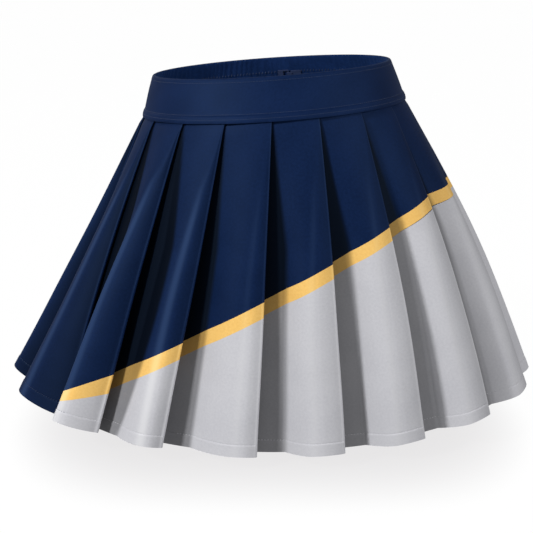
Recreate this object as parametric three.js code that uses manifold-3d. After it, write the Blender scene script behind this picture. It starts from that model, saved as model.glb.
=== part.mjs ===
// A knife-pleated cheer skirt: a shaped waistband with an elasticated back, a ring of pleat
// blades that each swing on the waist seam, and a short zip hidden under a centre-back pleat.
// Millimetres, +Z up, the wearer faces -Y, and the origin is the centre of the waist opening.
import * as THREE from 'three';
import { mergeVertices } from 'three/addons/utils/BufferGeometryUtils.js';
import Module from 'manifold-3d';

const wasm = await Module();
wasm.setup();

// Ovals and heights
const rimOval = { halfWidth: 120, halfDepth: 96.5 };
const seamOval = { halfWidth: 132.5, halfDepth: 111.5 };
const hemOval = { halfWidth: 275.5, halfDepth: 172.5, shiftBack: 4 };
const bandHeight = 38;
const waistTilt = THREE.MathUtils.degToRad(3.9);
const pleatLength = 319;

// Pleats
const pleatCount = 17;
const clothThickness = 0.8;
const foldStand = { seam: 6, hem: 27 };
const foldRadius = { seam: 1.0, hem: 2.6 };
const underlap = { seam: 0.36, hem: 0.42 };
const foldStart = { seam: -0.004, hem: -0.011 };
const closureShift = 0.032;
const valley = { ends: 0.4, shoulder: 0.78, slope: 0.15 };
const returnLift = 1.6;
const bellyOut = { all: 4, towardsRight: 6 };
const seamGap = 0.5;

// Colour blocks: a slanting stripe between a navy top and a grey skirt tail
const stripeSlope = 0.54;
const stripeMiddle = -208.5;
const stripeHeight = 14;
const sewingGap = 0.3;
const leastPiece = 600;

// Waistband layers, each a depth in from the outer surface
const layers = {
  shell: [0, 1.0],
  interfacing: [1.3, 2.1],
  elastic: [1.3, 2.8],
  facing: [3.1, 3.9],
};
const closureGap = 0.6;
const facetsAround = 62;

// Zip
const zipPleat = 9;
const zipTopDrop = 12;
const zipLength = 140;
const zipInset = 4.6;
const zipSlot = 0.15;
const tape = { width: 10, thickness: 0.5 };
const coil = { width: 2, thickness: 1.4, parting: 1.4 };
const slider = { width: 8.4, length: 11, plate: 1.1, throat: 2, parked: 8 };
const bridge = { width: 1.2, length: 7, rise: 2.4, bar: 0.8 };
const pull = { width: 5, length: 22, thickness: 0.9, window: 2.6 };

const finishes = {
  navy: { color: 0x16264a, roughness: 0.8, metalness: 0 },
  gold: { color: 0xd9a548, roughness: 0.7, metalness: 0 },
  grey: { color: 0xb4b4ba, roughness: 0.8, metalness: 0 },
  lining: { color: 0x10182c, roughness: 0.9, metalness: 0 },
  interfacing: { color: 0xd8d8d4, roughness: 0.9, metalness: 0 },
  elastic: { color: 0x202024, roughness: 0.85, metalness: 0 },
  nylon: { color: 0x18203a, roughness: 0.5, metalness: 0 },
  metal: { color: 0x8a8c92, roughness: 0.35, metalness: 1 },
};

const up = new THREE.Vector3(0, 1, 0);
const mix = THREE.MathUtils.lerp;

function named(name, geometry, finish) {
  const mesh = new THREE.Mesh(geometry, new THREE.MeshStandardMaterial(finishes[finish]));
  mesh.name = name;
  return mesh;
}

// Closed geometry with shared corners, ready for a boolean
function welded(geometry) {
  const bare = geometry.clone();
  bare.deleteAttribute('normal');
  bare.deleteAttribute('uv');
  return mergeVertices(bare, 1e-4);
}

function solid(geometry) {
  const mesh = welded(geometry);
  const vertProperties = new Float32Array(mesh.attributes.position.array);
  const triVerts = new Uint32Array(mesh.index.array);
  return new wasm.Manifold(new wasm.Mesh({ numProp: 3, vertProperties, triVerts }));
}

function geometryOf(manifold) {
  const mesh = manifold.getMesh();
  const geometry = new THREE.BufferGeometry();
  geometry.setAttribute('position', new THREE.Float32BufferAttribute(mesh.vertProperties, 3));
  geometry.setIndex(Array.from(mesh.triVerts));
  geometry.computeVertexNormals();
  return geometry;
}

// A box with its corners moved by place(u, v, w), each from 0 to 1. Its back, which comes last,
// is split along the same diagonals as its front, so that a twisted wall keeps its thickness.
function warpedBox(across, along, place) {
  const box = new THREE.BoxGeometry(1, 1, 1, across, along, 1);
  const corners = box.index.array;
  for (let k = corners.length - 6 * across * along; k < corners.length; k += 6) {
    const [a, b, d, , c] = corners.slice(k, k + 6);
    corners.set([a, b, c, a, c, d], k);
  }
  const geometry = welded(box);
  const position = geometry.attributes.position;
  for (let i = 0; i < position.count; i++) {
    const [u, v, w] = [position.getX(i) + 0.5, position.getY(i) + 0.5, position.getZ(i) + 0.5];
    position.setXYZ(i, ...place(u, v, w).toArray());
  }
  geometry.computeVertexNormals();
  return geometry;
}

// Ovals run from the front centre towards +X, by share of their length
function ovalCurve({ halfWidth, halfDepth }) {
  const curve = new THREE.EllipseCurve(0, 0, halfWidth, halfDepth, -Math.PI / 2, 1.5 * Math.PI);
  curve.arcLengthDivisions = 720;
  return curve;
}

const rimCurve = ovalCurve(rimOval);
const seamCurve = ovalCurve(seamOval);
const hemCurve = ovalCurve(hemOval);

function onOval(curve, share, z) {
  const point = curve.getPointAt(THREE.MathUtils.euclideanModulo(share, 1));
  return new THREE.Vector3(point.x, point.y, z);
}

// Where the fold numbered index stands, as a share of an oval. The folds draw together a little
// towards the back right, so that the zip lands under one of them at the closure.
function foldShare(index) {
  return index / pleatCount - closureShift * Math.sin(Math.PI * index / pleatCount) ** 4;
}

function seamPoint(index) {
  const point = onOval(seamCurve, foldShare(index) + foldStart.seam, -bandHeight - seamGap);
  return point.applyAxisAngle(up, -waistTilt);
}

function hemPoint(index) {
  const point = onOval(hemCurve, foldShare(index) + foldStart.hem, 0);
  const run = Math.hypot(
    point.x * (1 - seamOval.halfWidth / hemOval.halfWidth),
    point.y * (1 - seamOval.halfDepth / hemOval.halfDepth) + hemOval.shiftBack,
  );
  point.y += hemOval.shiftBack;
  point.z = -bandHeight - Math.sqrt(pleatLength ** 2 - run ** 2);
  return point;
}

// The fold surface of the skirt: index counts folds, drop runs from 0 at the seam to 1 at the hem
function skirtPoint(index, drop) {
  const top = seamPoint(index);
  const point = top.clone().lerp(hemPoint(index), drop);
  const outward = new THREE.Vector3(top.x, top.y, 0).normalize();
  const belly = bellyOut.all + bellyOut.towardsRight * outward.x;
  return point.addScaledVector(outward, belly * Math.sin(Math.PI * drop));
}

function skirtFrame(index, drop) {
  const step = 0.01;
  const across = skirtPoint(index + step, drop).sub(skirtPoint(index - step, drop)).normalize();
  const upward = skirtPoint(index, drop - step).sub(skirtPoint(index, drop + step)).normalize();
  return { across, upward, outward: across.clone().cross(upward).normalize() };
}

function raised(index, drop, stand) {
  return skirtPoint(index, drop).addScaledVector(skirtFrame(index, drop).outward, stand);
}

const stations = { face: 7, fold: 3, back: 2 };

// How far a face has risen to its fold: an even ramp at the seam, and at the hem a shallow
// valley, a steep side and a flat top.
function faceRise(x, drop) {
  const side = THREE.MathUtils.smoothstep(x, valley.ends, valley.shoulder);
  return mix(x, mix(side, x, valley.slope), drop);
}

// The path of a blade's cloth at one height: its face rises from under the pleat on its left to
// the fold, turns round it, and goes back inwards behind the face.
function bladePath(pleat, drop) {
  const stand = mix(foldStand.seam, foldStand.hem, drop);
  const radius = mix(foldRadius.seam, foldRadius.hem, drop);
  const lap = mix(underlap.seam, underlap.hem, drop);
  const pitch = skirtPoint(pleat, drop).distanceTo(skirtPoint(pleat - 1, drop));
  const startsLate = pleat === zipPleat + 1 ? zipSlot : 0;
  const endsEarly = pleat === zipPleat ? zipSlot : 0;
  const first = -1 - lap + startsLate;
  const path = [];
  for (let k = 0; k < stations.face; k++) {
    const x = k / stations.face;
    path.push(raised(pleat + first * (1 - x), drop, stand * (faceRise(x, drop) - 1)));
  }
  for (let k = 0; k <= stations.fold; k++) {
    const turn = Math.PI * (0.5 - k / stations.fold);
    const sideways = radius * Math.cos(turn) / pitch;
    path.push(raised(pleat + sideways, drop, radius * (Math.sin(turn) - 1)));
  }
  for (let k = 1; k <= stations.back; k++) {
    const x = k / stations.back;
    const last = -lap + endsEarly;
    path.push(raised(pleat + last * x, drop, mix(-2 * radius, returnLift - stand, x)));
  }
  return path;
}

function bladeGeometry(pleat) {
  const steps = stations.face + stations.fold + stations.back;
  const rows = 4;
  const paths = Array.from({ length: rows + 1 }, (_, row) => bladePath(pleat, row / rows));
  return warpedBox(steps, rows, (u, v, w) => {
    const drop = 1 - v;
    const path = paths[Math.round(drop * rows)];
    const k = Math.round(u * steps);
    const along = path[Math.min(k + 1, steps)].clone().sub(path[Math.max(k - 1, 0)]);
    const side = along.cross(skirtFrame(pleat, drop).upward).normalize();
    return path[k].clone().addScaledVector(side, (w - 0.5) * clothThickness);
  });
}

// A block that holds everything between two heights, slanted like the stripe
function slantedBlock(bottom, top) {
  const side = 700;
  const slant = Math.atan(stripeSlope);
  const across = Math.cos(slant);
  const block = new THREE.BoxGeometry(2 * side, side, (top - bottom) * across);
  block.translate(0, 0, (top + bottom) / 2 * across);
  block.rotateY(-slant);
  return solid(block);
}

const stripeTop = stripeMiddle + stripeHeight / 2;
const stripeBottom = stripeMiddle - stripeHeight / 2;
const farAway = 900;
const blocks = {
  navy: slantedBlock(stripeTop + sewingGap / 2, farAway),
  gold: slantedBlock(stripeBottom + sewingGap / 2, stripeTop - sewingGap / 2),
  grey: slantedBlock(-farAway, stripeBottom - sewingGap / 2),
};

// The largest body of a cut, without the slivers that a corner can leave
function mainBody(manifold) {
  const bodies = manifold.decompose();
  return bodies.sort((a, b) => b.volume() - a.volume())[0] ?? manifold;
}

function pleatMeshes(pleat) {
  const whole = solid(bladeGeometry(pleat));
  const label = String(pleat + 1).padStart(2, '0');
  const cut = Object.entries(blocks)
    .map(([finish, block]) => [finish, mainBody(whole.intersect(block))]);
  const striped = cut.every(([, piece]) => piece.volume() > leastPiece);
  const pieces = striped ? cut : [['navy', whole]];
  return pieces.map(([finish, piece]) => named(`pleat_${label}_${finish}`, geometryOf(piece), finish));
}

// Waistband, in its own tilted frame
function bandPoint(share, rise, depth) {
  const z = -bandHeight * (1 - rise);
  const point = onOval(seamCurve, share, z).lerp(onOval(rimCurve, share, z), rise);
  const tangent = seamCurve.getTangentAt(THREE.MathUtils.euclideanModulo(share, 1));
  return point.addScaledVector(new THREE.Vector3(tangent.y, -tangent.x, 0), -depth);
}

function bandStrip(name, [from, to], [outer, inner], finish, edge = 0) {
  const rim = edge / bandHeight;
  const facets = 2 * Math.floor((to - from) * facetsAround / 2) + 1;
  return named(name, warpedBox(facets, 1, (u, v, w) => {
    const share = mix(from, to, u);
    return bandPoint(share, mix(rim, 1 - rim, v), mix(inner, outer, w));
  }), finish);
}

const closure = foldShare(zipPleat - underlap.seam) + foldStart.seam;
const bandLength = seamCurve.getLength();
const seamHalf = sewingGap / 2 / bandLength;
const closureHalf = closureGap / 2 / bandLength;
const sideSeam = 0.25;
const front = [-sideSeam + seamHalf, sideSeam - seamHalf];
const backLeft = [sideSeam + seamHalf, closure - closureHalf];
const backRight = [closure + closureHalf, 1 - sideSeam - seamHalf];
const allRound = [closure - 1 + closureHalf, closure - closureHalf];
const tuck = 0.006;
const inset = ([from, to]) => [from + tuck, to - tuck];

function waistband() {
  const band = new THREE.Group();
  const hem = 2;
  band.add(
    bandStrip('waistband_front', front, layers.shell, 'navy'),
    bandStrip('waistband_back_left', backLeft, layers.shell, 'navy'),
    bandStrip('waistband_back_right', backRight, layers.shell, 'navy'),
    bandStrip('front_interfacing', inset(front), layers.interfacing, 'interfacing', hem),
    bandStrip('elastic_back_left', inset(backLeft), layers.elastic, 'elastic', hem),
    bandStrip('elastic_back_right', inset(backRight), layers.elastic, 'elastic', hem),
    bandStrip('waistband_facing', allRound, layers.facing, 'lining'),
    hookAndBar(),
  );
  band.rotation.y = -waistTilt;
  return band;
}

// A frame whose X runs along the cloth, Y up it and Z out of it
function placedFrame(origin, across, upward) {
  const outward = across.clone().cross(upward).normalize();
  const group = new THREE.Group();
  group.position.copy(origin);
  group.quaternion.setFromRotationMatrix(
    new THREE.Matrix4().makeBasis(across, outward.clone().cross(across), outward));
  return group;
}

function outline(points) {
  return new THREE.Shape(points.map(([x, y]) => new THREE.Vector2(x, y)));
}

function extruded(shape, depth, curveSegments = 6) {
  const geometry = new THREE.ExtrudeGeometry(shape, { depth, bevelEnabled: false, curveSegments });
  return geometry.translate(0, 0, -depth / 2);
}

// A profile drawn in X and Z, and pulled along Y
function sideProfile(points, width) {
  return extruded(outline(points), width).rotateX(Math.PI / 2);
}

const hook = { plate: 11, wide: 8, tongue: 5, metal: 0.7, reach: 3.3, catch: 1.45, clear: 1 };
const bar = { wide: 10, length: 12, wire: 1.2, window: 5, start: 1, metal: 0.8 };

function hookAndBar() {
  const depth = layers.facing[1] + 1.4;
  const step = 0.002;
  const origin = bandPoint(closure, 0.5, depth);
  const across = bandPoint(closure + step, 0.5, depth).sub(bandPoint(closure - step, 0.5, depth));
  const upward = bandPoint(closure, 0.6, depth).sub(bandPoint(closure, 0.4, depth));
  const place = placedFrame(origin, across.normalize(), upward.normalize());
  const inner = -hook.catch;
  const half = bar.metal / 2;
  const plate = solid(new THREE.BoxGeometry(hook.plate, hook.wide, hook.metal)
    .translate(-hook.clear - hook.plate / 2, 0, 0));
  const tongue = solid(sideProfile([
    [-2 * hook.clear, -hook.metal / 2], [-2 * hook.clear, inner], [hook.reach, inner],
    [hook.reach, half], [hook.reach - hook.metal, half], [hook.reach - hook.metal, inner + hook.metal],
    [-hook.clear, inner + hook.metal], [-hook.clear, hook.metal / 2],
    [-2 * hook.clear, hook.metal / 2],
  ], hook.tongue));
  const frame = outline([
    [bar.start, -bar.wide / 2], [bar.start + bar.length, -bar.wide / 2],
    [bar.start + bar.length, bar.wide / 2], [bar.start, bar.wide / 2],
  ]);
  const windowStart = bar.start + bar.wire;
  const windowHalf = bar.wide / 2 - bar.wire;
  frame.holes.push(outline([
    [windowStart, -windowHalf], [windowStart, windowHalf],
    [windowStart + bar.window, windowHalf], [windowStart + bar.window, -windowHalf],
  ]));
  place.add(
    named('waist_hook', geometryOf(plate.add(tongue)), 'metal'),
    named('waist_bar', extruded(frame, bar.metal), 'metal'),
  );
  return place;
}

// Zip, in a frame whose Y runs up the chain and whose Z faces out of the skirt
function zipFrame() {
  const behind = (distance) => {
    const drop = distance / pleatLength;
    const index = zipPleat - mix(underlap.seam, underlap.hem, drop);
    return raised(index, drop, -mix(foldStand.seam, foldStand.hem, drop) - zipInset);
  };
  const top = behind(zipTopDrop);
  const upward = top.clone().sub(behind(zipTopDrop + zipLength)).normalize();
  const { across } = skirtFrame(zipPleat - underlap.seam, 0);
  across.addScaledVector(upward, -across.dot(upward)).normalize();
  return placedFrame(top, across, upward);
}

function sideways(inner, outer, top, bottom, foot) {
  return outline([
    [-outer, bottom], [outer, bottom], [outer, top], [inner, top],
    [inner, bottom + foot], [-inner, bottom + foot], [-inner, top], [-outer, top],
  ]);
}

function sliderSolid() {
  const { width, length, plate, throat } = slider;
  const shape = new THREE.Shape();
  const [x, y, round] = [width / 2, length / 2, 2.4];
  shape.moveTo(-x + round, -y).lineTo(x - round, -y).quadraticCurveTo(x, -y, x, -y + round);
  shape.lineTo(x, y - round).quadraticCurveTo(x, y, x - round, y).lineTo(-x + round, y);
  shape.quadraticCurveTo(-x, y, -x, y - round).lineTo(-x, -y + round);
  shape.quadraticCurveTo(-x, -y, -x + round, -y);
  const level = (throat + plate) / 2;
  const topPlate = solid(extruded(shape, plate, 4).translate(0, 0, level));
  const backPlate = solid(extruded(shape, plate, 4).translate(0, 0, -level));
  const post = solid(new THREE.BoxGeometry(0.8, 3, throat + 1).translate(0, y - 2.5, 0));
  const foot = throat / 2 + plate / 2;
  const roof = throat / 2 + plate + bridge.rise;
  const [low, high, arm] = [-bridge.length / 2, bridge.length / 2, bridge.bar];
  const [xAxis, yAxis, zAxis] = [0, 1, 2].map((k) => new THREE.Vector3().setComponent(k, 1));
  const arch = solid(extruded(outline([
    [low, foot], [low + arm, foot], [low + arm, roof - arm], [high - arm, roof - arm],
    [high - arm, foot], [high, foot], [high, roof], [low, roof],
  ]), bridge.width).applyMatrix4(new THREE.Matrix4().makeBasis(yAxis, zAxis, xAxis)));
  return { body: topPlate.add(backPlate).add(post), arch };
}

function zip() {
  const frame = zipFrame();
  const inner = coil.parting / 2;
  const outer = inner + coil.width;
  const chain = sideways(inner, outer, 0, -zipLength, 2);
  const tapeInner = outer + sewingGap;
  const tapes = sideways(tapeInner, tapeInner + tape.width, 4, -zipLength - 8, 7.5);
  const { body, arch } = sliderSolid();
  const carriage = new THREE.Group();
  carriage.position.y = -slider.parked;
  carriage.add(named('zip_slider', geometryOf(body.add(arch)), 'metal'), pullTab());
  frame.add(
    named('zip_tape', extruded(tapes, tape.thickness), 'nylon'),
    named('zip_coil', extruded(chain, coil.thickness), 'nylon'),
    carriage,
  );
  return frame;
}

function pullTab() {
  const [half, bite] = [pull.width / 2, 1.1];
  const top = bridge.length / 2 - bridge.bar - 0.4;
  const shape = outline([
    [-half, top], [-half, top - pull.length + 2], [-half + 2, top - pull.length],
    [half - 2, top - pull.length], [half, top - pull.length + 2], [half, top],
  ]);
  const window = pull.window / 2;
  const windowFoot = -bridge.length / 2 - 1.5;
  shape.holes.push(outline([
    [-window, top - bite], [window, top - bite], [window, windowFoot], [-window, windowFoot],
  ]));
  const level = slider.throat / 2 + slider.plate + 0.3 + pull.thickness / 2;
  const tab = named('zip_pull_tab', extruded(shape, pull.thickness), 'metal');
  tab.position.z = level;
  return tab;
}

const skirt = new THREE.Group();
skirt.add(waistband(), zip());
for (let pleat = 0; pleat < pleatCount; pleat++) skirt.add(...pleatMeshes(pleat));

export default skirt;
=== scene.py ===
# Looks of a pleated cheer skirt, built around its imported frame. Metres, +Z up, the front faces -Y.
import math
import bmesh
import bpy
import numpy as np
from mathutils import Matrix, Vector


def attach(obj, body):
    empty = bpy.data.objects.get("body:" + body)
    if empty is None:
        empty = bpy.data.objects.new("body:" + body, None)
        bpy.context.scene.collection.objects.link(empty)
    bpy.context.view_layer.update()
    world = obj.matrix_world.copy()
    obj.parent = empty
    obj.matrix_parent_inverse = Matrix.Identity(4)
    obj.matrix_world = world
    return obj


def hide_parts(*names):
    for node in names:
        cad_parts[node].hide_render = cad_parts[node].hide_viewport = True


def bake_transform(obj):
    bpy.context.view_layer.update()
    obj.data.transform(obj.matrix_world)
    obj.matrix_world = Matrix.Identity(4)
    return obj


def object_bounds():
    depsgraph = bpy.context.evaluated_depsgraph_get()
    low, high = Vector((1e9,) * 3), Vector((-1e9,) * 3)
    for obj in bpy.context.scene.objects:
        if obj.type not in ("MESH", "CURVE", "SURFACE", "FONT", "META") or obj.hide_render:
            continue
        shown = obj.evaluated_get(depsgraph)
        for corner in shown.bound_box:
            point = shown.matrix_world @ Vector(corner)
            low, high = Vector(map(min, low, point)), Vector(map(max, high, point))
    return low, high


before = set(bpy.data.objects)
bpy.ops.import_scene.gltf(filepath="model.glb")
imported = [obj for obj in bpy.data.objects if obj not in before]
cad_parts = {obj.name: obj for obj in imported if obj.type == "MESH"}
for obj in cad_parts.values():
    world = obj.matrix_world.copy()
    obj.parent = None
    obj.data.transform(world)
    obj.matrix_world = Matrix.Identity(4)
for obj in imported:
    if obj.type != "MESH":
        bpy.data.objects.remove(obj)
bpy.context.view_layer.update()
scene = bpy.context.scene


# Camera and studio
cameraSettings = {
    "target": (-0.0049, 0.0, -0.2087),
    "distance": 1.30,
    "lookDownDeg": 14.8,
    "lensMm": 83.5,
    "sensorMm": 36,
}
studio = {
    "floorDrop": 0.012,
    "floorSize": 14,
    "world": 0.26,
    "backdrop": 0.99,
    "paper": (0.985, 0.985, 0.985),
    "paintedShadow": (0.79, 0.78, 0.785),  # painted shadow: the floor's soft shade under the skirt, painted into its emission
    "paintedShadowSize": (0.278, 0.25),
    "paintedShadowForward": 0.08,
    "lights": {  # position, power in watts, size
        "key": ((-1.85, -1.55, 1.25), 65, 0.34),
        "fill": ((2.05, -1.75, 0.9), 38, 1.5),
        "back": ((-1.6, 1.5, 1.4), 4, 1.6),
    },
}


def addCamera():
    data = bpy.data.cameras.new("camera")
    data.lens = cameraSettings["lensMm"]
    data.sensor_width = cameraSettings["sensorMm"]
    data.clip_end = 50
    down = math.radians(cameraSettings["lookDownDeg"])
    reach = cameraSettings["distance"]
    camera = bpy.data.objects.new("camera", data)
    camera.location = Vector(cameraSettings["target"]) + reach * Vector((0, -math.cos(down), math.sin(down)))
    camera.rotation_euler = (math.pi / 2 - down, 0, 0)
    scene.collection.objects.link(camera)
    scene.camera = camera


def addLights():
    target = Vector(cameraSettings["target"])
    for name, (place, power, size) in studio["lights"].items():
        data = bpy.data.lights.new(name, "AREA")
        data.energy = power
        data.size = size
        light = bpy.data.objects.new(name, data)
        light.location = place
        light.rotation_euler = (target - light.location).to_track_quat("-Z", "Y").to_euler()
        scene.collection.objects.link(light)
    world = bpy.data.worlds.new("studio")
    world.use_nodes = True
    tree = world.node_tree
    dim = tree.nodes["Background"]
    dim.inputs["Strength"].default_value = studio["world"]
    dim.inputs["Color"].default_value = (1, 1, 1, 1)
    backdrop = tree.nodes.new("ShaderNodeBackground")
    backdrop.inputs["Strength"].default_value = studio["backdrop"]
    backdrop.inputs["Color"].default_value = (1, 1, 1, 1)
    seen = tree.nodes.new("ShaderNodeLightPath")
    either = tree.nodes.new("ShaderNodeMixShader")
    tree.links.new(seen.outputs["Is Camera Ray"], either.inputs[0])
    tree.links.new(dim.outputs[0], either.inputs[1])
    tree.links.new(backdrop.outputs[0], either.inputs[2])
    tree.links.new(either.outputs[0], tree.nodes["World Output"].inputs["Surface"])
    scene.world = world
    scene.view_settings.view_transform = "Standard"


# Shader sums
class Signal:
    def __init__(self, tree, socket=None):
        self.tree = tree
        self.socket = socket

    def add(self, kind, settings=None, inputs=None, out=0):
        node = self.tree.nodes.new("ShaderNode" + kind)
        for key, value in (settings or {}).items():
            setattr(node, key, value)
        for key, value in (inputs or {}).items():
            if isinstance(value, Signal):
                self.tree.links.new(value.socket, node.inputs[key])
            else:
                node.inputs[key].default_value = value
        return Signal(self.tree, node.outputs[out])

    def maths(self, operation, first, second=0.0):
        return self.add("Math", {"operation": operation}, {0: first, 1: second})

    def __add__(self, other):
        return self.maths("ADD", self, other)

    def __sub__(self, other):
        return self.maths("SUBTRACT", self, other)

    def __mul__(self, other):
        return self.maths("MULTIPLY", self, other)

    def __rsub__(self, other):
        return self.maths("SUBTRACT", other, self)

    __radd__ = __add__
    __rmul__ = __mul__

    def wave(self):
        return self.maths("SINE", self) * 0.5 + 0.5

    def between(self, low, high):
        return self.add("MapRange", {"interpolation_type": "SMOOTHSTEP"}, {0: self, 1: low, 2: high})

    def blendColours(self, first, second):
        return self.add("Mix", {"data_type": "RGBA"}, {0: self, 6: first, 7: second}, 2)


def newFinish(name, **constants):
    finish = bpy.data.materials.new(name)
    finish.use_nodes = True
    tree = finish.node_tree
    shader = tree.nodes["Principled BSDF"]
    for socket, value in constants.items():
        shader.inputs[socket.replace("_", " ")].default_value = value
    return finish, Signal(tree), shader


def plug(signal, shader, socket):
    signal.tree.links.new(signal.socket, shader.inputs[socket])


# Colours are linear
# In each tone, deep is the share of its colour left in the painted shade of a valley.
clothSettings = {
    "navy": {"dark": (0.0018, 0.0075, 0.033), "light": (0.0044, 0.0142, 0.057),
             "highlightColour": (0.020, 0.042, 0.110), "sheen": 0.04, "tint": (0.30, 0.52, 1.0, 1),
             "gloss": 0.17, "rough": 0.60, "deep": 0.04},
    "gold": {"dark": (0.80, 0.47, 0.125), "light": (0.90, 0.57, 0.175), "highlightColour": (0.97, 0.70, 0.30),
             "sheen": 0.08, "tint": (1, 0.9, 0.6, 1), "gloss": 0.20, "rough": 0.70, "deep": 0.42},
    "grey": {"dark": (0.49, 0.49, 0.525), "light": (0.57, 0.57, 0.60), "highlightColour": (0.68, 0.68, 0.70),
             "sheen": 0.12, "tint": (1, 1, 1, 1), "gloss": 0.20, "rough": 0.80, "deep": 0.40},
    "lining": {"dark": (0.0032, 0.0125, 0.052), "light": (0.0090, 0.0290, 0.115),
               "highlightColour": (0.012, 0.036, 0.125), "sheen": 0.10, "tint": (0.30, 0.52, 1.0, 1),
               "gloss": 0.15, "rough": 0.88, "deep": 1.0},
}
weave = {
    "twillPitch": 0.0011, "threadPitch": 0.0006, "bump": 0.00006, "slub": 420.0, "patch": 26.0,
    "pressWidth": 0.0011, "shadeBesideFold": (-0.012, -0.002), "foldEdge": (-0.0014, -0.0006),
}


def clothFinish(name):
    tone = clothSettings[name]
    finish, make, shader = newFinish(
        name + "Cloth", Sheen_Weight=tone["sheen"], Sheen_Roughness=0.45, Sheen_Tint=tone["tint"],
        Specular_IOR_Level=tone["gloss"], Specular_Tint=tone["tint"])
    spread = make.add("UVMap")
    across = make.add("SeparateXYZ", None, {0: spread}, 0)
    down = make.add("SeparateXYZ", None, {0: spread}, 1)
    twill = ((across + down * 1.15) * (2 * math.pi / weave["twillPitch"])).wave()
    threads = (down * (2 * math.pi / weave["threadPitch"])).wave()
    slubs = make.add("TexNoise", None, {"Vector": spread, "Scale": weave["slub"], "Detail": 3.0})
    patches = make.add("TexNoise", None, {"Vector": spread, "Scale": weave["patch"], "Detail": 2.0})
    shade = slubs * 0.45 + patches * 0.35 + twill * 0.2
    colour = shade.between(0.30, 0.70).blendColours((*tone["dark"], 1), (*tone["light"], 1))
    crease = 1 - make.maths("ABSOLUTE", across).between(0.0, weave["pressWidth"])
    # Along each fold, a lighter line: a painted highlight together with patchy wear; the same highlight
    # colour is painted on the crests.
    creaseHighlightAndWear = crease * (patches * 0.3 + 0.12)
    paintedShadeAndHighlight = make.add("Attribute", {"attribute_name": "valley"}, None, 2)  # painted shade in valleys; below zero, a painted highlight along a crest
    # Painted highlight along the crests, where the valley attribute drops below zero.
    crestHighlight = (0 - paintedShadeAndHighlight).between(0.0, 1.0) * 0.8
    highlighted = (creaseHighlightAndWear + crestHighlight).blendColours(colour, (*tone["highlightColour"], 1))
    # Painted shade on the face just beside each fold, stopping short of the fold's edge.
    shadeBesideFold = across.between(*weave["shadeBesideFold"]) * (1 - across.between(*weave["foldEdge"])) * 0.06
    # Painted shade: valleys and the faces beside folds are blended towards black.
    shadedColour = (paintedShadeAndHighlight * (1 - tone["deep"]) + shadeBesideFold).blendColours(highlighted, (0, 0, 0, 1))
    plug(shadedColour, shader, "Base Color")
    plug(slubs * 0.12 + (tone["rough"] - 0.06) - creaseHighlightAndWear * 0.08, shader, "Roughness")
    relief = twill * 0.6 + threads * 0.25 + slubs * 0.5
    bump = make.add("Bump", None, {"Strength": 0.55, "Distance": weave["bump"], "Height": relief})
    plug(bump, shader, "Normal")
    return finish


def threadFinish(name, colour):
    finish, make, shader = newFinish(name, Sheen_Weight=0.2, Specular_IOR_Level=0.4)
    place = make.add("TexCoord", None, None, 3)
    fuzz = make.add("TexNoise", None, {"Vector": place, "Scale": 2600.0, "Detail": 2.0})
    tone = fuzz.between(0.3, 0.7).blendColours((*[c * 0.7 for c in colour], 1), (*colour, 1))
    plug(tone, shader, "Base Color")
    plug(fuzz * 0.2 + 0.5, shader, "Roughness")
    plug(make.add("Bump", None, {"Strength": 0.4, "Distance": 0.00005, "Height": fuzz}), shader, "Normal")
    return finish


def ribbedFinish(name, dark, light, pitch, rough):
    finish, make, shader = newFinish(name, Sheen_Weight=0.15, Specular_IOR_Level=0.3)
    place = make.add("TexCoord", None, None, 3)
    height = make.add("SeparateXYZ", None, {0: place}, 2)
    side = make.add("SeparateXYZ", None, {0: place}, 0)
    ribs = (height * (2 * math.pi / pitch)).wave()
    chevron = ((height + make.maths("PINGPONG", side, pitch * 2)) * (2 * math.pi / (pitch * 1.6))).wave()
    fuzz = make.add("TexNoise", None, {"Vector": place, "Scale": 900.0, "Detail": 3.0})
    shade = ribs * 0.4 + chevron * 0.25 + fuzz * 0.4
    plug(shade.between(0.25, 0.75).blendColours((*dark, 1), (*light, 1)), shader, "Base Color")
    plug(fuzz * 0.15 + (rough - 0.07), shader, "Roughness")
    plug(make.add("Bump", None, {"Strength": 0.7, "Distance": 0.00015, "Height": shade}), shader, "Normal")
    return finish


def metalFinish(name, colour):
    finish, make, shader = newFinish(name, Metallic=1.0)
    place = make.add("TexCoord", None, None, 3)
    brushed = make.add("TexNoise", None, {
        "Vector": make.add("Mapping", None, {"Vector": place, "Scale": (900.0, 900.0, 4500.0)}), "Scale": 1.0,
        "Detail": 4.0})
    tarnish = make.add("TexNoise", None, {"Vector": place, "Scale": 320.0, "Detail": 3.0})
    tone = tarnish.between(0.35, 0.7).blendColours((*colour, 1), (*[c * 0.55 for c in colour], 1))
    plug(tone, shader, "Base Color")
    plug(brushed * 0.22 + tarnish * 0.15 + 0.14, shader, "Roughness")
    plug(make.add("Bump", None, {"Strength": 0.25, "Distance": 0.00003, "Height": brushed}), shader, "Normal")
    return finish


# The skirt's form, as its frame was cut
form = {
    "rimOval": (0.120, 0.0965),
    "seamOval": (0.1325, 0.1115),
    "hemOval": (0.2755, 0.1725),
    "shiftBack": 0.004,
    "bandHeight": 0.038,
    "seamGap": 0.0005,
    "tilt": math.radians(3.9),
    "pleatLength": 0.319,
    "pleatCount": 17,
    "closureShift": 0.032,
    "foldStart": (-0.004, -0.011),  # at the seam and at the hem
    "underlap": (0.36, 0.42),
    "bellyAll": 0.004,
    "bellyRight": 0.006,
    "stripeSlope": 0.54,
    "stripeTop": -0.2015,
    "stripeBottom": -0.2155,
    "zipPleat": 9,
    "zipSlot": 0.15,
}
pleatCount = form["pleatCount"]
bandHeight = form["bandHeight"]


def mixed(pair, share):
    return pair[0] + (pair[1] - pair[0]) * share


def eased(value, low, high):
    share = np.clip((value - low) / (high - low), 0, 1)
    return share * share * (3 - 2 * share)


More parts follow.
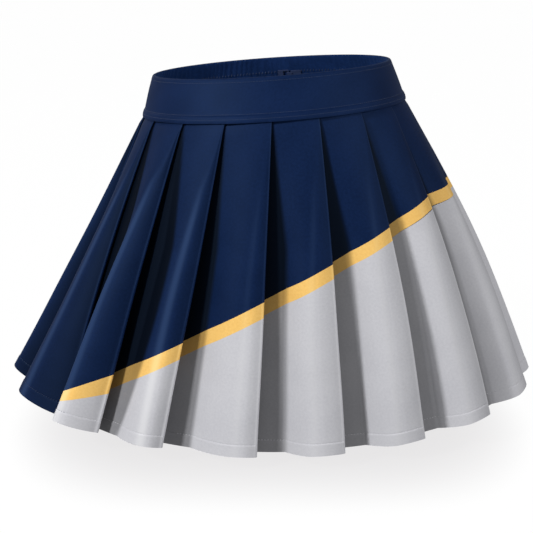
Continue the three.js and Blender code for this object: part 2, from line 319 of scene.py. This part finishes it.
def measuredOval(halves):
    angle = np.linspace(-math.pi / 2, 1.5 * math.pi, 2881)
    step = np.hypot(np.diff(halves[0] * np.cos(angle)), np.diff(halves[1] * np.sin(angle)))
    run = np.concatenate([[0], np.cumsum(step)])
    return {"angle": angle, "share": run / run[-1], "length": run[-1], "halves": halves}


rimOval = measuredOval(form["rimOval"])
seamOval = measuredOval(form["seamOval"])
hemOval = measuredOval(form["hemOval"])


def onOval(oval, share):
    angle = np.interp(np.mod(share, 1.0), oval["share"], oval["angle"])
    return oval["halves"][0] * np.cos(angle), oval["halves"][1] * np.sin(angle), angle


def tilted(x, y, z):
    c, s = math.cos(form["tilt"]), math.sin(form["tilt"])
    return np.stack([x * c - z * s, y + 0 * x, x * s + z * c], -1)


def foldShare(index):
    return index / pleatCount - form["closureShift"] * np.sin(np.pi * index / pleatCount) ** 4


def skirtPoint(index, drop):
    share = foldShare(index)
    x, y, _ = onOval(seamOval, share + form["foldStart"][0])
    top = tilted(x, y, 0 * x - bandHeight - form["seamGap"])
    x, y, _ = onOval(hemOval, share + form["foldStart"][1])
    narrow = [1 - seam / hem for seam, hem in zip(form["seamOval"], form["hemOval"])]
    run = np.hypot(x * narrow[0], y * narrow[1] + form["shiftBack"])
    fallen = np.sqrt(form["pleatLength"] ** 2 - run ** 2)
    bottom = np.stack([x, y + form["shiftBack"], -bandHeight - fallen], -1)
    outward = top[..., :2] / np.linalg.norm(top[..., :2], axis=-1, keepdims=True)
    point = top + (bottom - top) * drop[..., None]
    belly = (form["bellyAll"] + form["bellyRight"] * outward[..., 0]) * np.sin(np.pi * drop)
    point[..., :2] += outward * belly[..., None]
    return point


def unit(vectors):
    return vectors / np.linalg.norm(vectors, axis=-1, keepdims=True)


def skirtFrame(index, drop):
    step = 0.01
    across = unit(skirtPoint(index + step, drop) - skirtPoint(index - step, drop))
    upward = unit(skirtPoint(index, drop - step) - skirtPoint(index, drop + step))
    return across, upward, unit(np.cross(across, upward))


def raised(index, drop, stand):
    return skirtPoint(index, drop) + skirtFrame(index, drop)[2] * stand[..., None]


# Cloth pieces start as a grid whose columns and rows are placed by a rule
def clothGrid(columns, rows):
    cloth = bmesh.new()
    bmesh.ops.create_grid(cloth, x_segments=columns - 1, y_segments=rows - 1, size=1, calc_uvs=True)
    spots = np.array([vert.co[:2] for vert in cloth.verts])
    column = np.rint((spots[:, 0] + 1) / 2 * (columns - 1)).astype(int)
    row = np.rint((1 - spots[:, 1]) / 2 * (rows - 1)).astype(int)
    return cloth, column, row


def layOut(cloth, column, row, places, spread, paintedShadeAndHighlight=None):
    # The valley attribute carries painted shade, and where it is below zero, a painted highlight.
    if paintedShadeAndHighlight is not None:
        layer = cloth.verts.layers.float.new("valley")
        for vert, value in zip(cloth.verts, paintedShadeAndHighlight[row, column]):
            vert[layer] = value
    for vert, point in zip(cloth.verts, places[row, column]):
        vert.co = point
    cloth.verts.index_update()
    flat = spread[row, column]
    uv = cloth.loops.layers.uv.verify()
    for face in cloth.faces:
        for loop in face.loops:
            loop[uv].uv = flat[loop.vert.index]


def spreadOf(places, centre=None):
    steps = np.linalg.norm(np.diff(places, axis=1), axis=-1)
    across = np.concatenate([np.zeros((len(places), 1)), np.cumsum(steps, axis=1)], axis=1)
    if centre is not None:
        across -= across[:, centre:centre + 1]
    drops = np.linalg.norm(np.diff(places, axis=0), axis=-1).mean(axis=1)
    down = np.concatenate([[0], np.cumsum(drops)])
    return np.stack([across, np.repeat(-down[:, None], places.shape[1], axis=1)], -1)


def finished(name, cloth, finish, sharpDeg=50):
    mesh = bpy.data.meshes.new(name)
    cloth.to_mesh(mesh)
    cloth.free()
    mesh.materials.append(finish)
    mesh.shade_smooth()
    mesh.set_sharp_from_angle(angle=math.radians(sharpDeg))
    piece = bpy.data.objects.new(name, mesh)
    scene.collection.objects.link(piece)
    return piece


def flatArea(cloth):
    return sum(face.calc_area() for face in cloth.faces)


def thicken(cloth, thickness):
    bmesh.ops.solidify(cloth, geom=cloth.faces[:], thickness=thickness)
    bmesh.ops.recalc_face_normals(cloth, faces=cloth.faces[:])


# Stitches
stitch = {"length": 0.0019, "pitch": 0.0026, "width": 0.00042, "height": 0.00026}


def stitchRow(cloth, path, outward, pitch=stitch["pitch"], length=stitch["length"], turnDeg=0, scale=1.0):
    steps = np.linalg.norm(np.diff(path, axis=0), axis=-1)
    run = np.concatenate([[0], np.cumsum(steps)])
    for k in range(int(run[-1] / pitch)):
        at = (k + 0.5) * pitch
        here = Vector([np.interp(at, run, path[:, axis]) for axis in range(3)])
        ahead = Vector([np.interp(at + 0.0005, run, path[:, axis]) for axis in range(3)])
        normal = Vector([np.interp(at, run, outward[:, axis]) for axis in range(3)]).normalized()
        along = (ahead - here).normalized()
        if along.length < 0.5:
            continue
        along = Matrix.Rotation(math.radians(turnDeg), 3, normal) @ along
        side = normal.cross(along).normalized()
        turn = Matrix((along, side, normal)).transposed().to_4x4()
        size = Matrix.Diagonal((length / 2, stitch["width"] / 2 * scale, stitch["height"] * scale, 1))
        place = Matrix.Translation(here) @ turn @ size
        bmesh.ops.create_icosphere(cloth, subdivisions=1, radius=1, matrix=place)


def stitchPiece(name, rows, finish, body, slot, **style):
    cloth = bmesh.new()
    for path, outward in rows:
        stitchRow(cloth, path, outward, **style)
    piece = finished(name, cloth, finish, 80)
    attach(piece, body)
    return piece


# Pleats
pleat = {
    "baseSeam": -0.0030,
    "deepenBy": 1.35,  # how soon below the seam a pleat deepens
    "footBy": 0.38,  # the drop by which a face's foot has moved to its place
    "footBend": 0.8,
    "crestBy": 0.62,  # and the same for its crest
    "crestFrom": 0.2,
    "swing": 1.3,  # how late a fold swings to its place at the hem
    "foldRadius": (0.0005, 0.0024),
    "thickness": {"navy": 0.0008, "gold": 0.0010, "grey": 0.0008},
    "columns": {"under": 10, "valley": 8, "side": 16, "top": 16, "fold": 7, "back": 9},
    "rows": 58,
    "hemRows": (0.022, 0.018, 0.0155, 0.0140, 0.0132, 0.0126, 0.0121, 0.0116, 0.0110, 0.0100, 0.0080, 0.0060,
                0.0040, 0.0022, 0.0010, 0.0003, 0.0),  # distances above the hem
    "hemStitch": 0.0121,
    "hemTurn": 0.00045,
    "hemDent": (0.00055, 0.0005),  # depth and half width of the dent along the hem's stitches
    "topSink": 0.0012,
    "wobble": (0.0006, 0.0008),
    "bendRange": (0.006, 0.070),
    "allNavy": (13, 14),
    "shadeReach": {15: 0.12, 16: 0.22},  # folds by which the painted shade of a valley climbs the face beside it
    "foldwardShade": {13: 0.60, 14: 0.50, 15: 0.34, 16: 0.28},  # how far a painted shade darkens a face towards its fold
    "usualFoldwardShade": 0.18,
    "crestHighlight": {13: 0.75, 14: 0.85, 15: 1.0, 16: 0.85},  # how far a painted highlight lightens a crest
    "usualCrestHighlight": 0.35,
    "crestHighlightWidth": 0.07,
    "colourGap": 0.00003,
    "leastArea": 0.00002,
    "clearance": (0.0009, 0.0006),  # under a pleat's own face, and more by the hem
    "restOver": 0.0015,  # how far a pleat's back lies over the next pleat
    "stripeLean": 0.6,
    "stripeSinks": {4: 0.010, 5: 0.008, 6: 0.005, 7: 0.002},  # by fold, where the stripe dips at the side
    "stripeView": math.radians(14.8),
}
# Where a pleat's cloth runs at the hem: folds along from its own fold, and metres out from the fold surface
hemShapes = {
    13: {"base": -0.022, "foot": (-0.66, -0.020), "crest": (-0.06, 0.003), "fold": (0.16, -0.020)},
    14: {"base": -0.031, "foot": (-0.72, -0.029), "crest": (-0.14, 0.003), "fold": (0.48, -0.009)},
    15: {"base": -0.020, "foot": (-0.52, -0.014), "crest": (-0.34, 0.019), "fold": (0.09, 0.003)},
    16: {"base": -0.022, "foot": (-0.70, -0.010), "crest": (-0.31, 0.008), "fold": (-0.11, 0.001)},
    0: {"base": -0.023, "foot": (-0.80, -0.020), "crest": (-0.22, 0.003), "fold": (0.0, 0.001)},
}
usualShape = {"base": -0.023, "foot": (-0.66, -0.019), "crest": (-0.32, 0.002), "fold": (0.0, 0.0)}


def faceStations(number, drop):
    # folds along and height of a face's base, foot, crest and fold at each drop
    hem = hemShapes.get(number % pleatCount, usualShape)
    deep = 1 - (1 - drop) ** pleat["deepenBy"]
    under = mixed(form["underlap"], drop)
    seam = pleat["baseSeam"]
    foot = mixed((-1.0, hem["foot"][0]), np.minimum(drop / pleat["footBy"], 1) ** pleat["footBend"])
    begun = np.minimum(drop / pleat["crestFrom"], 1)
    crest = hem["crest"][0] * eased(drop / pleat["crestBy"], -0.6, 1.0) * begun
    fold = hem["fold"][0] * drop ** pleat["swing"]
    footSeam = -foot * seam * 0.74
    return {
        "base": (-1 - under, mixed((seam, hem["base"]), deep)),
        "foot": (foot, mixed((footSeam, hem["foot"][1]), deep)),
        "crest": (np.minimum(crest, fold - 0.02), hem["crest"][1] * deep),
        "fold": (fold, hem["fold"][1] * deep),
    }


def faceAt(stations, index):
    # a face's height: foot to crest is a quarter wave, and crest to fold a falling curve
    baseX, baseH = stations["base"]
    footX, footH = stations["foot"]
    crestX, crestH = stations["crest"]
    foldX, foldH = stations["fold"]
    low = mixed((baseH, footH), np.clip((index - baseX) / (footX - baseX), 0, 1))
    side = np.sin(np.clip((index - footX) / (crestX - footX), 0, 1) * np.pi / 2)
    top = np.clip((index - crestX) / (foldX - crestX), 0, 1) ** 2
    return np.where(index < footX, low, footH + (crestH - footH) * side + (foldH - crestH) * top)


def between(first, last, count):
    return first + (last - first) * np.linspace(0, 1, count, endpoint=False)


def pleatPlaces(number):
    columns = pleat["columns"]
    hem = 1 - np.array(pleat["hemRows"]) / form["pleatLength"]
    drop = np.concatenate([np.linspace(0, hem[0], pleat["rows"], endpoint=False), hem])[:, None]
    under = mixed(form["underlap"], drop)
    late = form["zipSlot"] if number == form["zipPleat"] + 1 else 0
    early = form["zipSlot"] if number == form["zipPleat"] else 0
    radius = mixed(pleat["foldRadius"], drop)
    lastFold = skirtPoint(number - 1 + 0 * drop, drop)
    pitch = np.linalg.norm(skirtPoint(number + 0 * drop, drop) - lastFold, axis=-1)
    stations = faceStations(number, drop)
    (baseX, _), (footX, _), (crestX, _), (foldX, foldH) = stations.values()
    firstX = np.minimum(baseX + late, footX - 0.05)
    midX = np.minimum(-1.0, footX - 0.02)
    face = np.concatenate([
        between(firstX, midX, columns["under"]), between(midX, footX, columns["valley"]),
        between(footX, crestX, columns["side"]),
        crestX + (foldX - crestX) * np.linspace(0, 1, columns["top"])], axis=1)
    height = faceAt(stations, face)
    turn = np.pi * (0.5 - np.arange(1, columns["fold"] + 1) / columns["fold"])
    foldIndex = foldX + radius * np.cos(turn) / pitch
    foldHeight = foldH + radius * (np.sin(turn) - 1)
    x = np.arange(1, columns["back"] + 1) / columns["back"]
    backIndex = foldX + (-under + early - foldX) * x
    ahead = faceStations(number + 1, drop)
    lowest = faceAt(ahead, backIndex - 1) + pleat["restOver"]
    backHeight = mixed((foldH - 2 * radius, lowest), eased(x, 0, 1))
    clear = pleat["clearance"][0] + pleat["clearance"][1] * drop
    backHeight = np.minimum(backHeight, faceAt(stations, backIndex) - clear)
    index = number + np.concatenate([face, foldIndex, backIndex], axis=1)
    height = np.concatenate([height, foldHeight, backHeight], axis=1)
    drops = np.repeat(drop, index.shape[1], axis=1)
    left = (1 - drops) * form["pleatLength"]  # distance above the hem
    turned = pleat["hemTurn"] * (1 - eased(left, pleat["hemStitch"] - 0.0004, pleat["hemStitch"] + 0.0010))
    dent = pleat["hemDent"][0] * np.exp(-((left - pleat["hemStitch"]) / pleat["hemDent"][1]) ** 2)
    shown = (np.arange(index.shape[1]) < face.shape[1]) * 1.0
    height = height + (turned - dent) * shown - pleat["topSink"] * (1 - eased(drops, 0.0, 0.03))
    beat = number * 2.399
    sway = np.sin(5.1 * drops + beat) * 0.6 + np.sin(11.3 * drops + 1.7 * beat) * 0.25
    ripple = np.sin(6.0 * index + 9.0 * drops + beat) * np.sin(3.7 * drops + 0.6 * beat)
    height = height + pleat["wobble"][0] * ripple * drops
    index = index + pleat["wobble"][1] * sway * drops ** 0.5 / pitch
    # Painted shade over each valley and towards each fold, less a painted highlight along the crest.
    paintedShadeAndHighlight = np.zeros_like(index)
    foldwardShade = pleat["foldwardShade"].get(number % pleatCount, pleat["usualFoldwardShade"])
    past = 1 - np.clip((face - crestX) / (foldX - crestX), 0, 1)
    dark = footX + pleat["shadeReach"].get(number % pleatCount, 0) * 4 * drop * (1 - drop)
    paintedShade = np.maximum(1 - eased(face, dark - 0.03, dark + 0.05), foldwardShade * (1 - past ** 2))
    crestHighlightAmount = pleat["crestHighlight"].get(number % pleatCount, pleat["usualCrestHighlight"]) * eased(drop, 0.05, 0.35)
    paintedShadeAndHighlight[:, :face.shape[1]] = paintedShade - crestHighlightAmount * np.exp(-((face - crestX) / pleat["crestHighlightWidth"]) ** 2)
    return raised(index, drops, height), paintedShadeAndHighlight


def stripePlane(number, level):
    # the stripe's edge over one pleat, leant so that it runs nearly straight over hollow and crest
    drop = np.linspace(0, 1, 400)
    ends = []
    for index in (number - 1, number):
        line = skirtPoint(index + 0 * drop, drop)
        sunk = pleat["stripeSinks"].get(index % pleatCount, 0)
        past = line[:, 2] - form["stripeSlope"] * line[:, 0] - level + sunk
        ends.append(line[np.abs(past).argmin()])
    away = np.array([0, -math.cos(pleat["stripeView"]), math.sin(pleat["stripeView"])])
    outward = skirtFrame(np.array([number - 0.5]), np.array([0.5]))[2][0]
    lean = pleat["stripeLean"] * min(max(outward @ away * 2.5, 0), 1)
    sideways = unit(outward * np.array([1, 1, 0]))
    normal = unit(np.cross(ends[1] - ends[0], mixed((sideways, away), lean)))
    return Vector(ends[1]), Vector(normal * np.sign(normal[2]))


def cutBand(cloth, number, low, high):
    for level, side in ((high, "clear_outer"), (low, "clear_inner")):
        if level is not None:
            point, normal = stripePlane(number, level)
            geom = cloth.verts[:] + cloth.edges[:] + cloth.faces[:]
            bmesh.ops.bisect_plane(cloth, geom=geom, plane_co=point, plane_no=normal, **{side: True})


def stripeCuts(number):
    top, bottom, gap = form["stripeTop"], form["stripeBottom"], pleat["colourGap"]
    if number in pleat["allNavy"]:
        return {"navy": (None, None)}
    return {"navy": (top, None), "gold": (bottom + gap, top), "grey": (None, bottom)}


def flatSizeOf(cloth, area):
    uv = cloth.loops.layers.uv.verify()
    flat = np.array([loop[uv].uv[:] for face in cloth.faces for loop in face.loops])
    width, length = flat.max(0) - flat.min(0)
    if area < 0.36 * width * length:
        width = max(width, length)
        length = area / width
    return (float(width), float(max(length, 0.0101))), float(area)


def addPleat(number, finishes, bands):
    label = f"pleat_{number + 1:02d}"
    counts = pleat["columns"]
    before = counts["under"]
    fold = sum(counts[part] for part in ("under", "valley", "side", "top")) - 1
    places, paintedShadeAndHighlight = pleatPlaces(number)
    spread = spreadOf(places, fold)
    rows, columns = places.shape[:2]
    hinge = places[0, (before + fold) // 2]
    down = unit(places[-1, (before + fold) // 2] - hinge)
    hem = rows - 1 - pleat["hemRows"][::-1].index(pleat["hemStitch"])
    above = None
    for finish, (low, high) in stripeCuts(number).items():
        cloth, column, row = clothGrid(columns, rows)
        layOut(cloth, column, row, places, spread, paintedShadeAndHighlight)
        cutBand(cloth, number, low, high)
        area = flatArea(cloth)
        if area < pleat["leastArea"]:
            cloth.free()
            continue
        flat, area = flatSizeOf(cloth, area)
        thicken(cloth, pleat["thickness"][finish])
        piece = finished(f"{label}_{finish}_cloth", cloth, finishes[finish])
        start, end = (hinge + down * reach for reach in pleat["bendRange"])
        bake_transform(piece)
        node = f"{label}_{finish}"
        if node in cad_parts:
            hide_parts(node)
        finish + "_cloth"
        share = area / (flat[0] * flat[1])
        above or bandOver(number, bands)
        area if 0.3 <= share <= 1 else None
        above = piece
    lift = skirtFrame(np.array([number - 0.5]), np.array([0.96]))[2][0]
    path = places[hem, before:fold + 1] + lift * 0.0001
    across = unit(np.gradient(path, axis=0))
    outward = unit(np.cross(across, np.repeat(-down[None], len(path), 0)))
    return label, path, outward


def bandOver(number, bands):
    share = float(foldShare(np.array(number - 0.5)))
    if share < 0.25 or share > 0.75:
        return bands["front"]
    return bands["back_left"] if share < 0.5 else bands["back_right"]


# Waistband. A profile lists height above the band's lower edge and distance out from its surface, in mm.
band = {
    "shell": ((-1.2, -0.2), (-1.35, 0.25), (-1.1, 0.62), (-0.4, 0.85), (0.8, 0.95), (2.4, 0.95), (3.8, 0.88),
              (4.5, 0.72), (4.8, 0.30), (5.0, 0.08), (6.4, 0.0), (9.0, 0.12), (14.0, 0.30), (20.0, 0.38),
              (26.0, 0.30), (31.0, 0.15), (34.0, 0.05), (36.0, 0.10), (37.2, 0.0), (37.9, -0.35),
              (38.25, -0.95), (38.3, -1.7), (38.15, -2.5), (37.9, -2.9)),
    "facing": ((-1.4, -4.9), (-0.8, -5.35), (0.4, -5.4), (1.6, -5.2), (2.6, -4.7), (4.5, -4.1), (9.0, -3.95),
               (14.0, -3.9), (19.0, -3.9), (24.0, -3.9), (29.0, -3.9), (33.0, -3.95), (35.6, -4.0),
               (36.8, -3.9), (37.5, -3.7), (37.9, -3.3)),
    "thickness": 0.0008,
    "columnWidth": 0.0014,
    "sideGap": 0.0001,
    "closureGap": 0.00005,
    "stitchInset": 0.0010,
    "frontRipple": 0.00012,
    "gather": 0.00055,
    "gatherWidth": 0.0068,
    "facingGather": 0.0008,
    "seamStitch": (5.9, 1.6),
    "rimStitch": 34.6,
    "tickHeight": 22.0,
}
zipUnder = form["underlap"][0]
closure = float(foldShare(np.array(form["zipPleat"] - zipUnder)) + form["foldStart"][0])
sideGap = band["sideGap"] / 2 / seamOval["length"]


def bandPoint(share, height, out):
    rise = height / bandHeight
    lowX, lowY, angle = onOval(seamOval, share)
    highX, highY, _ = onOval(rimOval, share)
    tangent = unit(np.stack([-form["seamOval"][0] * np.sin(angle), form["seamOval"][1] * np.cos(angle)], -1))
    x = lowX + (highX - lowX) * rise + tangent[..., 1] * out
    y = lowY + (highY - lowY) * rise - tangent[..., 0] * out
    return tilted(x, y, height - bandHeight)


def gathersAt(share, height, amount, width):
    run = share * seamOval["length"]
    beat = run / width + 0.33 * np.sin(run * 71) + 0.21 * np.sin(run * 163 + 1.3)
    lean = 0.12 * np.sin(height * 95 + run * 40)
    fold = np.abs(np.sin(np.pi * (beat + lean))) ** 0.8
    back = eased(share, 0.262, 0.30) * (1 - eased(share, 0.70, 0.738))
    return amount * (fold - 0.5) * back


def bandStrip(name, start, end, profile, finish, inward=False, gather=0.0):
    columns = int((end - start) * seamOval["length"] / band["columnWidth"])
    share = np.linspace(start, end, columns)[None]
    rows = np.array(profile[::-1]) * 0.001
    height, out = rows[:, :1] + 0 * share, rows[:, 1:] + 0 * share
    run = share * seamOval["length"]
    full = eased(height, 0.0, 0.005) * (1 - eased(height, 0.036, 0.038))
    wander = np.sin(run * 37 + height * 60) * np.sin(height * 130 + run * 11)
    out = out + band["frontRipple"] * wander * full
    out = out + gathersAt(np.mod(share, 1.0), height, gather, band["gatherWidth"]) * (0.35 + 0.65 * full)
    if not inward:
        ends = np.minimum(share - start, end - share) * seamOval["length"]
        out = out - 0.0006 * (1 - eased(ends, 0, 0.0012))
    places = bandPoint(share, height, out)
    cloth, column, row = clothGrid(*places.shape[1::-1])
    layOut(cloth, column, row, places, spreadOf(places) + np.array([0.05, 0]))
    if inward:
        bmesh.ops.reverse_faces(cloth, faces=cloth.faces[:])
    area = flatArea(cloth)
    length = float(np.linalg.norm(np.diff(places[len(rows) // 2], axis=0), axis=-1).sum())
    thicken(cloth, band["thickness"])
    piece = finished(name, cloth, finish)
    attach(piece, "waistband")
    return piece, (length, area / length)


def bandRow(start, end, height, out, step=0.0015):
    count = int((end - start) * seamOval["length"] / step)
    share = np.linspace(start, end, count)
    path = bandPoint(share, height * 0.001 + 0 * share, out * 0.001 + 0 * share)
    further = bandPoint(share, height * 0.001 + 0 * share, out * 0.001 + 0.001 + 0 * share)
    return path, unit(further - path) * np.sign(out + 2)


def addWaistband(finishes, thread):
    gap = band["closureGap"] / seamOval["length"]
    inset = band["stitchInset"] / seamOval["length"]
    spans = {
        "front": (-0.25 + sideGap, 0.25 - sideGap, 0.0),
        "back_left": (0.25 + sideGap, closure - gap, band["gather"]),
        "back_right": (closure + gap, 0.75 - sideGap, band["gather"]),
    }
    pieces = {}
    for side, (start, end, gather) in spans.items():
        name = side + "_band_cloth"
        piece, flat = bandStrip(name, start, end, band["shell"], finishes["navy"], gather=gather)
        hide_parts("waistband_" + side)
        pieces[side] = piece
        rows = [bandRow(start + inset, end - inset, height, 0.1 if height > 5 else 0.92)
                for height in band["seamStitch"]]
        rows.append(bandRow(start + inset, end - inset, band["rimStitch"], 0.08))
        stitches = stitchPiece(name.replace("cloth", "stitching"), rows, thread, "waistband", "navy_cloth")
        "front_interfacing" if side == "front" else "elastic_" + side
    piece, flat = bandStrip("facing_cloth", closure - 1 + gap, closure - gap, band["facing"],
                            finishes["lining"], inward=True, gather=band["facingGather"])
    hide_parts("waistband_facing")
    pieces["facing"] = piece
    ticks = [bandRow(start, end, band["tickHeight"], -4.05) for start, end in
             ((0.27, closure - inset), (closure + inset, 0.73))]
    tickPiece = stitchPiece("facing_ticks", ticks, thread, "waistband", "facing", pitch=0.0034, turnDeg=66,
                            length=0.0030, scale=1.5)
    edge = stitchPiece("facing_edge_stitching", [bandRow(closure - 0.99, closure - 0.01, 3.6, -4.5)], thread,
                       "waistband", "facing")
    return pieces


# Zip
zipForm = {
    "topDrop": 0.012, "length": 0.140, "inset": 0.0046, "parting": 0.0014, "coilWidth": 0.0020,
    "coilHeight": 0.0013, "turn": 0.0013, "wire": 0.00030, "tapeGap": 0.0003,
}


def zipPlace():
    def behind(distance):
        drop = np.array([distance / form["pleatLength"]])
        index = form["zipPleat"] - mixed(form["underlap"], drop)
        return raised(index, drop, -mixed((0.006, 0.027), drop) - zipForm["inset"])[0]
    top = behind(zipForm["topDrop"])
    upward = unit(top - behind(zipForm["topDrop"] + zipForm["length"]))
    across = skirtFrame(np.array([form["zipPleat"] - zipUnder]), np.array([0.0]))[0][0]
    across = unit(across - upward * (across @ upward))
    return Matrix.Translation(top) @ Matrix((across, upward, np.cross(across, upward))).transposed().to_4x4()


def coilMesh(name, side, place):
    # one long spring of nylon wire, its turns flattened and pulled across to their tape
    turns = int((zipForm["length"] - 0.004) / zipForm["turn"])
    perTurn = 10
    curve = bpy.data.curves.new(name, "CURVE")
    curve.dimensions = "3D"
    curve.bevel_depth = zipForm["wire"]
    curve.bevel_resolution = 1
    curve.use_fill_caps = True
    line = curve.splines.new("POLY")
    line.points.add(turns * perTurn - 1)
    middle = zipForm["parting"] / 2 + zipForm["coilWidth"] / 2 - 0.0004
    for k, point in enumerate(line.points):
        angle = 2 * math.pi * k / perTurn
        x = side * (middle + (zipForm["coilWidth"] / 2 + 0.0002) * math.cos(angle))
        z = (zipForm["coilHeight"] / 2) * math.sin(angle)
        y = -0.002 - zipForm["turn"] * (k / perTurn + (0.5 if side > 0 else 0))
        point.co = (*(place @ Vector((x, y, z))), 1)
    curved = bpy.data.objects.new(name, curve)
    scene.collection.objects.link(curved)
    bpy.context.view_layer.update()
    mesh = bpy.data.meshes.new_from_object(curved)
    bpy.data.objects.remove(curved)
    return mesh


def addZip(finishes, thread):
    place = zipPlace()
    cloth = bmesh.new()
    for side in (-1, 1):
        mesh = coilMesh("coil", side, place)
        cloth.from_mesh(mesh)
        bpy.data.meshes.remove(mesh)
    stopAt = place @ Matrix.Translation((0, 0.0006 - zipForm["length"], 0))
    stop = bmesh.ops.create_cube(cloth, size=1, matrix=stopAt @ Matrix.Diagonal((0.0058, 0.0022, 0.0022, 1)))
    edges = list({edge for vert in stop["verts"] for edge in vert.link_edges})
    bmesh.ops.bevel(cloth, geom=edges, offset=0.0005, affect="EDGES", segments=2, profile=0.5, material=-1)
    bmesh.ops.recalc_face_normals(cloth, faces=cloth.faces[:])
    coils = finished("zip_coil_turns", cloth, finishes["nylon"])
    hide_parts("zip_coil")
    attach(coils, "pleat_11")
    turn = np.array(place.to_3x3())
    start = np.array(place.translation)
    rows = []
    for side in (-1, 1):
        for out in (0.0016, 0.0070):
            x = side * (zipForm["parting"] / 2 + zipForm["coilWidth"] + zipForm["tapeGap"] + out)
            ends = [start + turn @ np.array([x, y, 0.00028]) for y in (0.002, -0.136)]
            path = np.linspace(*ends, 60)
            rows.append((path, np.repeat(turn[:, 2][None], 60, 0)))
    stitchPiece("zip_tape_stitching", rows, thread, "pleat_11", "zip_tape")


# Build
addCamera()
addLights()
print("camera and studio set")

finishes = {name: clothFinish(name) for name in clothSettings}
finishes["nylon"] = threadFinish("zipNylon", (0.010, 0.016, 0.045))
navyThread = threadFinish("navyThread", (0.018, 0.038, 0.100))
greyThread = threadFinish("greyThread", (0.62, 0.62, 0.65))
nodeFinishes = {
    "interfacing": ribbedFinish("fusedInterfacing", (0.62, 0.62, 0.58), (0.78, 0.78, 0.74), 0.0007, 0.9),
    "elastic": ribbedFinish("ribbedElastic", (0.012, 0.012, 0.016), (0.03, 0.03, 0.036), 0.0016, 0.85),
    "zip_tape": ribbedFinish("wovenTape", (0.006, 0.012, 0.034), (0.014, 0.026, 0.066), 0.0008, 0.75),
    "zip_coil": finishes["nylon"],
    "metal": metalFinish("agedNickel", (0.55, 0.56, 0.60)),
    "hook": ribbedFinish("enamelledHook", (0.005, 0.015, 0.055), (0.009, 0.026, 0.095), 0.0016, 0.8),
}
nodeSlots = {
    "front_interfacing": "interfacing", "elastic_back_left": "elastic", "elastic_back_right": "elastic",
    "waist_hook": "hook", "waist_bar": "hook", "zip_tape": "zip_tape", "zip_slider": "metal",
    "zip_pull_tab": "metal",
}
for node, slotName in nodeSlots.items():
    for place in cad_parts[node].material_slots:
        place.material = nodeFinishes[slotName]
print("finishes made")

bands = addWaistband(finishes, navyThread)
print("waistband sewn")

for number in range(pleatCount):
    label, path, outward = addPleat(number, finishes, bands)
    slope = path[:, 2] - form["stripeSlope"] * path[:, 0]
    grey = slope < form["stripeBottom"]
    if number in pleat["allNavy"]:
        grey[:] = False
    for finish, share, thread in (("grey", grey, greyThread), ("navy", ~grey, navyThread)):
        if share.sum() > 6:
            stitchPiece(f"{label}_{finish}_hem_stitching", [(path[share], outward[share])], thread, label,
                        finish + "_cloth", pitch=0.0030, length=0.0021)
print("pleats hung")

addZip(finishes, navyThread)
print("zip set")


def addFloor():
    floor = bmesh.new()
    bmesh.ops.create_grid(floor, x_segments=1, y_segments=1, size=studio["floorSize"] / 2)
    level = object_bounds()[0][2] - studio["floorDrop"]
    bmesh.ops.translate(floor, vec=(0, 0, level), verts=floor.verts[:])
    finish, make, shader = newFinish("paleFloor", Base_Color=(0.02, 0.02, 0.02, 1), Roughness=0.95,
                                     Specular_IOR_Level=0.0, Emission_Strength=1.0)
    # Painted shadow: the floor's emission is dimmed in a soft oval under the skirt.
    place = make.add("TexCoord", None, None, 3)
    x = make.add("SeparateXYZ", None, {0: place}, 0) * (1 / studio["paintedShadowSize"][0])
    y = make.add("SeparateXYZ", None, {0: place}, 1) * (1 / studio["paintedShadowSize"][1]) + studio["paintedShadowForward"]
    paintedShadow = 1 - (x * x * x * x + y * y).between(0.12, 1.0)
    plug(paintedShadow.blendColours((*studio["paper"], 1), (*studio["paintedShadow"], 1)), shader, "Emission Color")
    mesh = bpy.data.meshes.new("floor")
    floor.to_mesh(mesh)
    floor.free()
    mesh.materials.append(finish)
    piece = bpy.data.objects.new("floor", mesh)
    scene.collection.objects.link(piece)
    piece.visible_diffuse = False
    piece.visible_glossy = False


addFloor()
